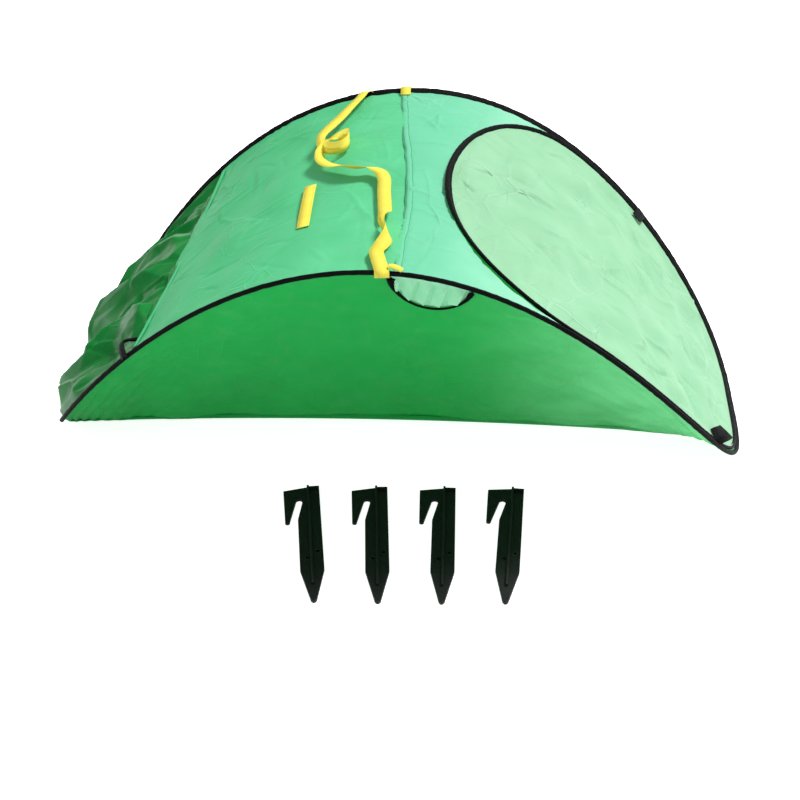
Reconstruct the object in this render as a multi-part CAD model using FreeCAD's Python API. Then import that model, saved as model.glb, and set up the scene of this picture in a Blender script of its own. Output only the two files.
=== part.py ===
"""Mini pop-up greenhouse: an arched fabric tent on a sprung steel hoop, with a framed door and pegs.

Millimetres. +X runs to the door end, +Y to the back, +Z up. The origin is on the ground, midway between the
tent's two ends and its two walls. The roof is one bent sheet: its height depends on X alone, and the main hoop
follows its rounded outline, so everything on the roof is drawn in plan and lifted to the same curve.
"""
import FreeCAD, Part
import math
import os

from FreeCAD import Vector

# Driving dimensions of the tent
tent_length = 1050.0          # tip to tip, between the hoop's centrelines
tent_half_depth = 294.0       # hoop centreline to the middle plane, at mid length
roof_rise = 388.0             # hoop centreline above its own level at the tips
corner_power_door = 3.4       # fullness of the outline's corners at the door end
corner_power_slack = 4.5      # the same at the slack end
arch_power_door = 0.96        # shape of the arch on the door side: smaller is fuller
arch_power_slack = 0.88

# Hoops and their fabric sleeves
wire_radius = 1.6
ferrule_bore = 1.7
ferrule_radius = 2.7
binding_bore = 3.1            # inner radius of a sleeve
binding_radius = 5.0          # outer radius of a sleeve
hoop_gap = 0.6                # between two sleeves that lie side by side
hoop_arcs = 34                # pairs of arcs round the main hoop
door_arcs = 24                # pairs of arcs round the door hoop
outline_fineness = 2880       # plan points that an outline is measured from

# Fabric
cloth = 1.2                   # thickness of a panel
cloth_gap = 0.4               # from a panel to what it is sewn to
layer_gap = 0.4               # between layers that lie on each other
seam_width = 12.0
seam_back_x = -24.0           # the centre seam's ends, on the back and on the front rim
seam_front_x = 16.0
tape = 1.2                    # thickness of webbing and seam tape

# Walls under the two long sides of the hoop
front_hem_depth = 110.0       # from the middle plane to the front hem, at mid length
front_hem_skew = 0.066        # the front hem runs nearer the middle towards the door end
back_hem_depth = 126.0
back_hem_skew = 0.0
hem_lift = 20.0               # how far the hem arches off the ground at mid length
wall_stations = 29
wall_thinning = 4             # trial stations for each one kept
wall_step = 0.4               # fineness of the wall's top edge under the sleeve
wall_short = 9.0              # the wall stops where less than this is left of it

# Slack end: the roof ends on a straight hem, and loose cloth closes the rest
slack_hem_x = -347.0
slack_inside = 9.0            # room that the loose cloth takes below the roof's line
slack_outside = 18.0          # and above it
slack_tip_inset = 16.0        # the cloth stops this far short of the hoop's tip
slack_side_inset = 10.5       # and this far inside the hoop's centreline along the sides
arch_radius = 4.0             # bound edge of the loose cloth, under the roof hem
arch_drop = 7.5               # its centreline below the roof's line
arch_end_inset = 25.0         # from the hoop's centreline to the bound edge's ends
arch_route = ((3, -1), (-13, -0.78), (2, -0.58), (30, -0.3), (38, 0), (30, 0.4), (16, 0.75), (8, 1))
arch_arcs = 15                # stations along it; X from the hem, Y in shares of its half length

# Framed door
door_inner_x = 60.0           # where the door reaches furthest over the roof
door_full_x = 255.0           # from here on, the door is as wide as the hoop
door_tip_inset = 5.6          # in plan, from the main hoop's tip to the door hoop's
tab_size = (24.0, 30.0)       # fastening tabs across the door's sleeve, along X and along Y
tab_places = ((368.0, 1), (474.0, -1))

# Gathered vent under the front arch
vent_middle_x = 66.0
vent_half_width = 56.0
vent_drop = 58.0
vent_radius = 2.6             # its bound edge
vent_arcs = 13                # stations along it

# Webbing
strap_width = 19.0
strap_route = ((-103, 280), (-121, 215), (-142, 150), (-126, 72), (-96, 2), (-48, -48), (-17, -112),
               (-8, -190), (-14, -280))
keeper_route = ((-136, -12), (-128, -142))
loop_width = 15.0
loop_reach = (270.0, 288.0)   # the loop on the back rim runs from one to the other along Y

# Ground pegs, lying flat in front of the tent in a slight fan, their points forward and drawn together
peg_count = 4
peg_pitch = 100.0
peg_row_middle_x = 32.0
peg_top_y = -250.0            # the pegs' heads, clear of the front hem
peg_row_lean = 0.092          # the row runs back by this much along X
peg_fan_middle = 5.2          # degrees by which the pegs at mid row point towards the door end
peg_fan_step = 4.1            # degrees from one peg to the next
peg_length = 230.0
peg_shank = 33.0
peg_reach = 19.5              # from the shank to the hook's outer side
peg_plate = 5.0               # thickness of the flat part
peg_rib_width = 3.2
peg_rib_height = 4.0
peg_head_rise = 7.0           # the head slopes up by this much from the hook to the back
peg_edge_dip = 1.0            # of which this much behind the middle of the shank
peg_head_depth = 19.0         # solid head above the slot
peg_slot = 10.0               # width of the hook's slot
peg_slot_inset = 3.0          # from the shank's edge line to the slot's middle, at its round end
peg_hook_length = 69.0        # from the head's lowest corner to the hook's end
peg_hook_end = 8.0            # width of the hook at its end
peg_hook_lean = 1.2           # the hook's outer side draws in by this much
peg_shoulder = 6.0            # the shank's full width starts this far above the hook's end
peg_back_corner = 4.0         # cut corner at the back of the head
peg_point = 59.0              # length of the pointed end
peg_point_width = 8.0
peg_point_cut = (2.5, 3.0)    # cut corners of the point, across and along
peg_lip = 3.2                 # the striking lip at the back of the head
peg_lift_edge = 0.8           # edge fillet of the plate


def outline_half_depth(x, length=tent_length, half_depth=tent_half_depth):
    """Half the depth of the rounded outline at x."""
    power = corner_power_door if x > 0 else corner_power_slack
    share = min(1.0, abs(2 * x / length))
    return half_depth * (1 - share ** power) ** (1 / power)


def roof_height(x):
    """Height of the roof's middle line at x."""
    power = arch_power_door if x > 0 else arch_power_slack
    share = min(1.0, abs(2 * x / tent_length))
    return binding_radius + roof_rise * (1 - share ** 2) ** power


def on_roof(x, y, offset=0.0):
    """The point of the roof above plan point x, y, moved out along the roof's normal."""
    step = 0.05
    low = max(x - step, -tent_length / 2)
    high = min(x + step, tent_length / 2)
    along = Vector(high - low, 0, roof_height(high) - roof_height(low))
    along.normalize()
    return Vector(x, y, roof_height(x)) + Vector(-along.z, 0, along.x) * offset


def main_outline(turn, side_inset=0.0, tip_inset=None):
    """Plan point of the hoop's outline: turn goes from 0 to 1 round the tent."""
    tip_inset = side_inset if tip_inset is None else tip_inset
    angle = 2 * math.pi * turn
    c = math.cos(angle)
    s = math.sin(angle)
    power = corner_power_door if c > 0 else corner_power_slack
    x = (tent_length / 2 - tip_inset) * math.copysign(abs(c) ** (2 / power), c)
    y = (tent_half_depth - side_inset) * math.copysign(abs(s) ** (2 / power), s)
    return x, y


def door_outline(turn, grow=0.0):
    """Plan point of the door hoop: half an ellipse over the roof, then just inside the main hoop."""
    angle = 2 * math.pi * turn
    side_inset = 2 * binding_radius + hoop_gap - grow
    tip_inset = door_tip_inset - grow
    left = door_inner_x - grow
    right = tent_length / 2 - tip_inset
    x = (left + right) / 2 + (right - left) / 2 * math.cos(angle)
    half = outline_half_depth(x, tent_length - 2 * tip_inset, tent_half_depth - side_inset)
    if x < door_full_x:
        share = (door_full_x - x) / (door_full_x - left)
        half *= math.sqrt(max(0.0, 1 - share ** 2))
    return x, math.copysign(half, math.sin(angle))


def even_stations(points, count, closed):
    """Points evenly spaced along a dense run of points, each with the direction of travel there."""
    if closed:
        points = points + [points[0]]
    travelled = [0.0]
    for a, b in zip(points, points[1:]):
        travelled.append(travelled[-1] + (b - a).Length)
    spans = count if closed else count - 1
    stations = []
    index = 0
    for number in range(count):
        goal = travelled[-1] * number / spans
        while index < len(points) - 2 and travelled[index + 1] < goal:
            index += 1
        share = (goal - travelled[index]) / (travelled[index + 1] - travelled[index])
        place = points[index] + (points[index + 1] - points[index]) * share
        before = max(index - 1, 0)
        after = min(index + 2, len(points) - 1)
        heading = points[after] - points[before]
        heading.normalize()
        stations.append((place, heading))
    return stations


def arc_from(start, heading, end):
    """The circular arc that leaves start along heading and meets end."""
    chord = end - start
    along = Vector(chord)
    along.normalize()
    lean = heading - along * heading.dot(along)
    half_turn = math.atan2(lean.Length, heading.dot(along))
    lean.normalize()
    middle = start + chord / 2 + lean * (chord.Length / 2 * math.tan(half_turn / 2))
    return Part.Arc(start, middle, end).toShape()


def arc_chain(stations, closed):
    """Tangent arcs, two from each station to the next."""
    pairs = list(zip(stations, stations[1:] + stations[:1])) if closed else list(zip(stations, stations[1:]))
    arcs = []
    for (start, leaving), (end, arriving) in pairs:
        gap = end - start
        both = leaving + arriving
        spread = 2 * (1 - leaving.dot(arriving))
        reach = gap.dot(both)
        arm = (math.sqrt(reach ** 2 + spread * gap.dot(gap)) - reach) / spread
        joint = (start + end + (leaving - arriving) * arm) / 2
        first = arc_from(start, leaving, joint)
        arcs.append(first)
        arcs.append(arc_from(joint, first.tangentAt(first.LastParameter), end))
    return arcs


def tube(arcs, radius, bore=0.0):
    """A round tube or rod along a chain of tangent arcs."""
    start = arcs[0].valueAt(arcs[0].FirstParameter)
    heading = arcs[0].tangentAt(arcs[0].FirstParameter)
    section = Part.Face(Part.Wire([Part.makeCircle(radius, start, heading)]))
    if bore:
        section = section.cut(Part.Face(Part.Wire([Part.makeCircle(bore, start, heading)]))).Faces[0]
    pieces = []
    for arc in arcs:
        circle = arc.Curve
        sweep = math.degrees(arc.LastParameter - arc.FirstParameter)
        pieces.append(section.revolve(circle.Center, circle.Axis, sweep))
        section = section.rotated(circle.Center, circle.Axis, sweep)
    return pieces[0].multiFuse(pieces[1:]) if len(pieces) > 1 else pieces[0]


def ring_stations(outline, count, offset=0.0):
    """Stations round a closed plan outline, lifted to the roof."""
    turns = [(k + 0.5) / outline_fineness for k in range(outline_fineness)]
    points = [on_roof(*outline(turn), offset) for turn in turns]
    return even_stations(points, count, True)


def plan_block(points):
    """A tall block whose outline in plan is a closed smooth curve through the points."""
    curve = Part.BSplineCurve()
    curve.interpolate(Points=points, PeriodicFlag=True)
    return tall_block(Part.Wire([curve.toShape()]))


def tall_block(wire):
    return Part.Face(wire).extrude(Vector(0, 0, 2 * roof_rise)).translated(Vector(0, 0, -roof_rise / 2))


def outline_block(outline, count=96):
    turns = [(k + 0.5) / outline_fineness for k in range(outline_fineness)]
    points = [Vector(*outline(turn), 0) for turn in turns]
    return plan_block([place for place, heading in even_stations(points, count, True)])


def roof_slab(x_from, x_to, low, high, spread=33):
    """The roof between two values of X, from one offset of its middle line to another."""
    first = math.acos(max(-1.0, min(1.0, 2 * x_from / tent_length)))
    last = math.acos(max(-1.0, min(1.0, 2 * x_to / tent_length)))
    places = [tent_length / 2 * math.cos(first + (last - first) * k / (spread - 1)) for k in range(spread)]
    edges = []
    ends = []
    for offset in (low, high):
        points = [on_roof(x, -tent_half_depth, offset) for x in places]
        curve = Part.BSplineCurve()
        curve.interpolate(points)
        edges.append(curve.toShape())
        ends.append((points[0], points[-1]))
    edges.insert(1, Part.makeLine(ends[0][1], ends[1][1]))
    edges.append(Part.makeLine(ends[1][0], ends[0][0]))
    face = Part.Face(Part.Wire(Part.__sortEdges__(edges)))
    return face.extrude(Vector(0, 2 * tent_half_depth, 0))


def ribbon_block(route, width):
    """A tall block over a flat band of even width along a smooth plan route."""
    curve = Part.BSplineCurve()
    curve.interpolate([Vector(x, y, 0) for x, y in route])
    samples = 40 if len(route) > 2 else 3
    sides = ([], [])
    for k in range(samples):
        at = curve.FirstParameter + (curve.LastParameter - curve.FirstParameter) * k / (samples - 1)
        heading = curve.tangent(at)[0]
        across = Vector(-heading.y, heading.x, 0) * (width / 2)
        sides[0].append(curve.value(at) + across)
        sides[1].append(curve.value(at) - across)
    edges = []
    for side in sides:
        edge = Part.BSplineCurve()
        edge.interpolate(side)
        edges.append(edge.toShape())
    edges.insert(1, Part.makeLine(sides[0][-1], sides[1][-1]))
    edges.append(Part.makeLine(sides[1][0], sides[0][0]))
    return tall_block(Part.Wire(Part.__sortEdges__(edges)))


def seam_side(from_x, gap):
    """A tall block between a plane at from_x and the seam's line, short of it by the gap."""
    reach = tent_half_depth
    corners = [Vector(from_x, -reach, 0), Vector(seam_front_x + gap, -reach, 0),
               Vector(seam_back_x + gap, reach, 0), Vector(from_x, reach, 0)]
    return tall_block(Part.makePolygon(corners + corners[:1]))


def wall_line(x, side, hem_depth, hem_skew):
    """Upper and lower end of a wall at x: under the hoop, and on the hem."""
    top = Vector(x, side * outline_half_depth(x), roof_height(x))
    share = 2 * abs(x) / tent_length
    lift = cloth / 2 + hem_lift * max(0.0, 1 - share ** 2)
    return top, Vector(x, side * (hem_depth - hem_skew * x), lift)


def wall(side, hem_depth, hem_skew, ring_points):
    """A wall from the hoop's long side down to its hem, flat in each plane across the tent."""
    trials = wall_stations * wall_thinning
    clear = binding_radius + 2 * cloth_gap
    sections = []
    for k in range(trials + 1):
        x = tent_length / 2 * math.cos(math.pi * (1 - k / trials))
        top, hem = wall_line(x, side, hem_depth, hem_skew)
        down = hem - top
        if down.Length < wall_short or side * (top.y - hem.y) < 0:
            continue
        down.normalize()
        start = Vector(top)
        while min((start - p).Length for p in ring_points) < clear:
            start += down * wall_step
        if (hem - start).Length < wall_short or (hem - start).dot(down) < 0:
            continue
        across = Vector(0, -down.z, down.y) * (cloth / 2)
        corners = [start + across, start - across, hem - across, hem + across]
        sections.append(Part.makePolygon(corners + corners[:1]))
    kept = sections[::wall_thinning]
    if (len(sections) - 1) % wall_thinning:
        kept.append(sections[-1])
    return Part.makeLoft(kept, True, False)


def vent_shape(grow):
    """A block through the front wall in the vent's outline, half an ellipse hanging from the arch."""
    centre = Vector(vent_middle_x, 0, roof_height(vent_middle_x))
    wide = vent_half_width + grow
    drop = vent_drop + grow
    ellipse = Part.Ellipse(centre, max(wide, drop), min(wide, drop))
    edge = ellipse.toShape()
    edge.rotate(centre, Vector(1, 0, 0), 90)
    if drop > wide:
        edge.rotate(centre, Vector(0, 1, 0), 90)
    block = Part.Face(Part.Wire([edge])).extrude(Vector(0, tent_half_depth, 0))
    return block.translated(Vector(0, -tent_half_depth - front_hem_depth / 2, 0))


def vent_route(ring_points):
    """The vent's bound edge, on the front wall from the arch round to the arch."""
    points = []
    steps = 240
    for k in range(steps + 1):
        angle = math.pi * (1 + k / steps)
        x = vent_middle_x + vent_half_width * math.cos(angle)
        z = roof_height(vent_middle_x) + vent_drop * math.sin(angle)
        top, hem = wall_line(x, -1, front_hem_depth, front_hem_skew)
        share = (top.z - z) / (top.z - hem.z)
        point = top + (hem - top) * share
        clear = binding_radius + vent_radius + cloth_gap
        if z < top.z and min((point - p).Length for p in ring_points) > clear:
            points.append(point)
    return arc_chain(even_stations(points, vent_arcs, False), False)


def slack_arch():
    """Bound edge of the loose cloth: out past the roof hem near the front, under the roof elsewhere."""
    half = tent_half_depth - arch_end_inset
    plan = Part.BSplineCurve()
    plan.interpolate([Vector(slack_hem_x + x, half * share, 0) for x, share in arch_route])
    steps = 400
    points = []
    for k in range(steps):
        at = plan.FirstParameter + (plan.LastParameter - plan.FirstParameter) * k / (steps - 1)
        place = plan.value(at)
        points.append(on_roof(place.x, place.y, -arch_drop))
    return arc_chain(even_stations(points, arch_arcs, False), False)


def peg_outline():
    """The peg's outline from the head's low corner round to the slot, the origin at the top of the head."""
    back = peg_shank / 2
    front = -back - peg_reach
    low_corner = -peg_head_rise
    slot_x = -back + peg_slot_inset
    slot_top = low_corner - peg_head_depth
    slot_start = slot_top - peg_slot / 2
    hook_end = low_corner - peg_hook_length
    half_point = peg_point_width / 2
    cut_across, cut_along = peg_point_cut
    outline = [(front, low_corner), (0, -peg_edge_dip), (back - peg_back_corner, 0), (back, -peg_back_corner),
               (back, -peg_length + peg_point), (half_point, -peg_length + cut_along),
               (half_point - cut_across, -peg_length), (-half_point + cut_across, -peg_length),
               (-half_point, -peg_length + cut_along), (-back, -peg_length + peg_point),
               (-back, hook_end + peg_shoulder), (slot_x + peg_slot / 2, slot_start)]
    corners = [Vector(x, y, 0) for x, y in outline]
    slot_side = Vector(slot_x - peg_slot / 2, slot_start, 0)
    hook_side = hook_end + peg_hook_end / 2
    hook_inner = Vector(front + peg_hook_end, hook_side, 0)
    hook_outer = Vector(front + peg_hook_lean, hook_side, 0)
    edges = [Part.makeLine(a, b) for a, b in zip(corners, corners[1:])]
    edges.append(Part.Arc(corners[-1], Vector(slot_x, slot_top, 0), slot_side).toShape())
    edges.append(Part.makeLine(slot_side, hook_inner))
    edges.append(Part.Arc(hook_inner, Vector(front + peg_hook_end / 2, hook_end, 0), hook_outer).toShape())
    edges.append(Part.makeLine(hook_outer, corners[0]))
    return edges


def ground_peg(number):
    """A moulded peg: a flat shank with a stiffening rib, a hook and a striking lip."""
    plate = Part.Face(Part.Wire(peg_outline())).extrude(Vector(0, 0, peg_plate))
    rim = [edge for edge in plate.Edges if abs(edge.CenterOfMass.z - peg_plate) < peg_lift_edge / 2]
    plate = plate.makeFillet(peg_lift_edge, rim)
    raised = peg_plate + peg_rib_height
    rib_end = peg_length - peg_point / 2
    rib = Part.makeBox(peg_rib_width, rib_end, raised, Vector(-peg_rib_width / 2, -rib_end, 0))
    rib_top = [edge for edge in rib.Edges if abs(edge.CenterOfMass.z - raised) < peg_lift_edge / 2]
    rib = rib.makeChamfer(peg_rib_width / 4, rib_top)
    lip = Part.makeBox(peg_shank / 2, peg_lip, raised, Vector(0, -peg_back_corner - peg_lip, 0))
    peg = plate.fuse([rib, lip]).removeSplitter()
    place = number - (peg_count - 1) / 2
    peg.rotate(Vector(0, 0, 0), Vector(0, 0, 1), peg_fan_middle - place * peg_fan_step)
    from_middle = place * peg_pitch
    return peg.translated(Vector(peg_row_middle_x + from_middle, peg_top_y + from_middle * peg_row_lean, 0))


def save(name, shape):
    solids = shape.Solids
    volume = sum(solid.Volume for solid in solids)
    print(f"{name:24s} solids {len(solids)} valid {shape.isValid()} volume {volume:12.1f}")
    (solids[0] if len(solids) == 1 else Part.makeCompound(solids)).exportStep(f"parts/{name}.step")


os.makedirs("parts", exist_ok=True)

# Hoops
main_stations = ring_stations(main_outline, hoop_arcs)
main_arcs = arc_chain(main_stations, True)
ring_points = [place for place, heading in ring_stations(main_outline, 900)]
main_binding = tube(main_arcs, binding_radius).cut(tube(main_arcs, binding_bore))
save("main_hoop_wire", tube(main_arcs, wire_radius))
save("main_hoop_ferrule", tube(main_arcs[:1], ferrule_radius, ferrule_bore))
save("main_hoop_binding", main_binding)
door_arcs_chain = arc_chain(ring_stations(door_outline, door_arcs), True)
save("right_door_wire", tube(door_arcs_chain, wire_radius))
save("right_door_ferrule", tube(door_arcs_chain[:1], ferrule_radius, ferrule_bore))
save("right_door_binding", tube(door_arcs_chain, binding_radius).cut(tube(door_arcs_chain, binding_bore)))

# Roof, seam and door cloth
edge_inset = binding_radius + cloth_gap
inside_hoop = outline_block(lambda turn: main_outline(turn, edge_inset))
door_hole = outline_block(lambda turn: door_outline(turn, edge_inset))
door_inside = outline_block(lambda turn: door_outline(turn, -edge_inset))
half_seam = cloth_gap / 2
roof = roof_slab(slack_hem_x, door_full_x, -cloth / 2, cloth / 2).common(inside_hoop)
save("roof_panel_left", roof.common(seam_side(slack_hem_x - seam_width, -half_seam)))
save("roof_panel_right", roof.common(seam_side(tent_length / 2, half_seam)).cut(door_hole))
door_cloth = roof_slab(door_inner_x, tent_length / 2 - edge_inset, -cloth / 2, cloth / 2)
save("right_door_panel", door_cloth.common(door_inside))
tape_low = cloth / 2 + layer_gap
seam_route = ((seam_back_x, tent_half_depth), (seam_front_x, -tent_half_depth))
seam_layer = roof_slab(-tent_length / 8, tent_length / 8, tape_low, tape_low + tape).common(inside_hoop)
save("roof_seam_tape", seam_layer.common(ribbon_block(seam_route, seam_width)))

# Walls and vent
front_wall = wall(-1, front_hem_depth, front_hem_skew, ring_points)
vent_clear = vent_radius + cloth_gap
save("front_wall", front_wall.cut(vent_shape(vent_clear)))
save("back_wall", wall(1, back_hem_depth, back_hem_skew, ring_points))
save("vent_panel", front_wall.common(vent_shape(-vent_clear)))
save("vent_binding", tube(vent_route(ring_points), vent_radius))

# Slack end
arch = slack_arch()
slack = roof_slab(-tent_length / 2 + slack_tip_inset, slack_hem_x - cloth_gap, -slack_inside, slack_outside)
slack_tip = slack_outside + binding_radius
slack = slack.common(outline_block(lambda turn: main_outline(turn, slack_side_inset, slack_tip)))
save("left_end_panel", slack.cut(tube(arch, arch_radius + cloth_gap)))
save("left_end_binding", tube(arch, arch_radius))

# Webbing on the roof
strap_low = tape_low + tape + layer_gap
strap_layer = roof_slab(-tent_length / 4, tent_length / 8, strap_low, strap_low + tape)
save("carry_strap", strap_layer.common(ribbon_block(strap_route, strap_width)))
keeper_layer = roof_slab(-tent_length / 4, -seam_width, tape_low, tape_low + tape)
save("keeper_strap", keeper_layer.common(ribbon_block(keeper_route, strap_width)))
loop_route = [(seam_back_x, y) for y in loop_reach]
save("seam_loop", strap_layer.common(ribbon_block(loop_route, loop_width)))

# Fastening tabs over the door's sleeve
tab_low = binding_radius + layer_gap
for name, (x, side) in zip(("door_tab_back", "door_tab_front"), tab_places):
    edge = side * (outline_half_depth(x) - 2 * binding_radius)
    inner = edge - side * tab_size[1]
    layer = roof_slab(x - tab_size[0] / 2, x + tab_size[0] / 2, tab_low, tab_low + tape, 5)
    save(name, layer.common(ribbon_block(((x, edge), (x, inner)), 2 * tab_size[0])))

# Pegs
for number in range(peg_count):
    save(f"ground_peg_{number + 1}", ground_peg(number))
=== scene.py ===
import math

import bpy
import numpy as np
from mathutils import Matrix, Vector, geometry


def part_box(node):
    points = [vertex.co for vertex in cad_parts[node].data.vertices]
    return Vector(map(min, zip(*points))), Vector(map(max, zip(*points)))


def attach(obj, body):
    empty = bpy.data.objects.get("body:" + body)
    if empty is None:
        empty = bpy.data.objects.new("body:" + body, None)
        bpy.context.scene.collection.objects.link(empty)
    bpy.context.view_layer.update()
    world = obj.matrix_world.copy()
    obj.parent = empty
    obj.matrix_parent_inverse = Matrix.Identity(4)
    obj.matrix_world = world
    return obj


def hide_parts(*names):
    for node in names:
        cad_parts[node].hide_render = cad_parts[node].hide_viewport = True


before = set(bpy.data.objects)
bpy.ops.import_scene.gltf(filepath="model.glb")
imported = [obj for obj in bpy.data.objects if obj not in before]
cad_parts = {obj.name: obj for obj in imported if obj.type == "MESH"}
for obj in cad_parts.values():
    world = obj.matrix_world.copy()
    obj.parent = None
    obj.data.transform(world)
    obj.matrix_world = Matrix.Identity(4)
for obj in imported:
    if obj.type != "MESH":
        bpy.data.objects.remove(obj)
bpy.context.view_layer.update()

tent = {
    "sleeveRadius": 0.005,
    "doorCorner": 3.4,   # fullness of the outline's corners at the door end
    "slackCorner": 4.5,
    "doorArch": 0.96,    # shape of the arch, smaller is fuller
    "slackArch": 0.88,
}
hoopLow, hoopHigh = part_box("main_hoop_binding")
sleeveRadius = tent["sleeveRadius"]
halfLength = (hoopHigh[0] - hoopLow[0]) / 2 - sleeveRadius
sideReach = (hoopHigh[1] - hoopLow[1]) / 2 - sleeveRadius
roofRise = hoopHigh[2] - hoopLow[2] - 2 * sleeveRadius


def power(x, doorValue, slackValue):
    return np.where(np.asarray(x) > 0, doorValue, slackValue)


def halfDepth(x, inset=0.0, tipInset=None):
    tipInset = inset if tipInset is None else tipInset
    share = np.clip(np.abs(x) / (halfLength - tipInset), 0, 1)
    full = power(x, tent["doorCorner"], tent["slackCorner"])
    return (sideReach - inset) * (1 - share ** full) ** (1 / full)


def roofHeight(x):
    share = np.clip(np.abs(x) / halfLength, 0, 1)
    return sleeveRadius + roofRise * (1 - share ** 2) ** power(x, tent["doorArch"], tent["slackArch"])


def roofNormal(x):
    low = np.clip(np.asarray(x, float) - 0.0004, -halfLength, halfLength)
    high = np.clip(np.asarray(x, float) + 0.0004, -halfLength, halfLength)
    normal = np.stack([roofHeight(low) - roofHeight(high), 0 * low, high - low], -1)
    return normal / np.linalg.norm(normal, axis=-1, keepdims=True)


def roofPoint(x, y, lift=0.0):
    x, y, lift = np.broadcast_arrays(np.asarray(x, float), y, lift)
    return np.stack([x, y, roofHeight(x)], -1) + roofNormal(x) * lift[..., None]


denseX = halfLength * np.sin(np.linspace(-math.pi / 2, math.pi / 2, 4001))
denseStep = np.hypot(np.diff(denseX), np.diff(roofHeight(denseX)))
denseAlong = np.concatenate([[0], np.cumsum(denseStep)])
denseAlong -= np.interp(0, denseX, denseAlong)


def alongOf(x):
    return np.interp(x, denseX, denseAlong)


def xOf(along):
    return np.interp(along, denseAlong, denseX)


def unit(vectors):
    return vectors / np.maximum(np.linalg.norm(vectors, axis=-1, keepdims=True), 1e-12)


def smoothStep(value):
    value = np.clip(value, 0, 1)
    return value * value * (3 - 2 * value)


def resample(points, count, closed=False):
    points = np.asarray(points, float)
    if closed:
        points = np.vstack([points, points[:1]])
    travelled = np.concatenate([[0], np.cumsum(np.linalg.norm(np.diff(points, axis=0), axis=1))])
    goals = np.linspace(0, travelled[-1], count + 1)[:-1] if closed else np.linspace(0, travelled[-1], count)
    return np.stack([np.interp(goals, travelled, points[:, k]) for k in range(points.shape[1])], 1)


def smoothPath(points, perSpan=24):
    points = np.asarray(points, float)
    padded = np.vstack([2 * points[0] - points[1], points, 2 * points[-1] - points[-2]])
    t = np.linspace(0, 1, perSpan, endpoint=False)[:, None]
    spans = []
    for a, b, c, d in zip(padded, padded[1:], padded[2:], padded[3:]):
        spans.append(0.5 * (2 * b + (c - a) * t + (2 * a - 5 * b + 4 * c - d) * t ** 2
                            + (3 * b - a - 3 * c + d) * t ** 3))
    return np.vstack(spans + [points[-1:]])


# Meshes

def makeObject(name, points, faces, coordinates=None):
    mesh = bpy.data.meshes.new(name)
    mesh.from_pydata(np.asarray(points).reshape(-1, 3).tolist(), [], faces)
    if coordinates is not None:
        layer = mesh.uv_layers.new(name="flat")
        loops = np.empty(len(mesh.loops), np.int32)
        mesh.loops.foreach_get("vertex_index", loops)
        layer.data.foreach_set("uv", np.asarray(coordinates, float).reshape(-1, 2)[loops].ravel())
    mesh.polygons.foreach_set("use_smooth", [True] * len(mesh.polygons))
    mesh.update()
    made = bpy.data.objects.new(name, mesh)
    bpy.context.scene.collection.objects.link(made)
    return made


def gridFaces(rows, columns, wrapRows=False, wrapColumns=False):
    faces = []
    for row in range(rows if wrapRows else rows - 1):
        nextRow = (row + 1) % rows
        for column in range(columns if wrapColumns else columns - 1):
            after = (column + 1) % columns
            faces.append((row * columns + column, row * columns + after,
                          nextRow * columns + after, nextRow * columns + column))
    return faces


def clothGrid(name, points, keep=None):
    points = np.asarray(points)
    rows, columns = points.shape[:2]
    alongRows = np.zeros((rows, columns))
    alongColumns = np.zeros((rows, columns))
    alongRows[1:] = np.cumsum(np.linalg.norm(np.diff(points, axis=0), axis=2), axis=0)
    alongColumns[:, 1:] = np.cumsum(np.linalg.norm(np.diff(points, axis=1), axis=2), axis=1)
    faces = gridFaces(rows, columns)
    if keep is not None:
        faces = [face for face in faces if all(keep.flat[corner] for corner in face)]
    return makeObject(name, points, faces, np.stack([alongRows, alongColumns], -1))


def sheetNormals(points):
    down = np.gradient(points, axis=0)
    across = np.gradient(points, axis=1)
    return unit(np.cross(down, across))


def surfaceArea(points):
    a = points[1:, :-1] - points[:-1, :-1]
    b = points[:-1, 1:] - points[:-1, :-1]
    return float(np.linalg.norm(np.cross(a, b), axis=2).sum())


def sweep(name, centres, sides, normals, profile, closed):  # profile: stations, corners, sideways and up
    profile = np.broadcast_to(profile, (len(centres),) + profile.shape[-2:])
    points = (centres[:, None] + sides[:, None] * profile[..., :1] + normals[:, None] * profile[..., 1:])
    corners = profile.shape[1]
    ring = np.linalg.norm(np.roll(points[0], -1, 0) - points[0], axis=1).sum()
    travelled = np.concatenate([[0], np.cumsum(np.linalg.norm(np.diff(centres, axis=0), axis=1))])
    turn = np.linspace(0, ring, corners)
    flat = np.stack(np.meshgrid(travelled, turn, indexing="ij"), -1)
    faces = gridFaces(len(centres), corners, closed, True)
    if not closed:
        last = (len(centres) - 1) * corners
        faces.append(tuple(reversed(range(corners))))
        faces.append(tuple(range(last, last + corners)))
    return makeObject(name, points, faces, flat)


# Relief of sewn cloth

def waves(u, v, seed, length, height, count=5):
    chance = np.random.default_rng(seed)
    total = 0 * u
    for k in range(count):
        angle = chance.uniform(0, math.pi)
        size = length * chance.uniform(0.7, 1.5)
        along = (u * math.cos(angle) + v * math.sin(angle)) * 2 * math.pi / size
        beside = (v * math.cos(angle) - u * math.sin(angle)) * 2 * math.pi / (size * 2.3)
        total = total + np.sin(along + 1.6 * np.sin(beside + chance.uniform(0, 6)) + chance.uniform(0, 6))
    return total * height / math.sqrt(count)


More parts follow.
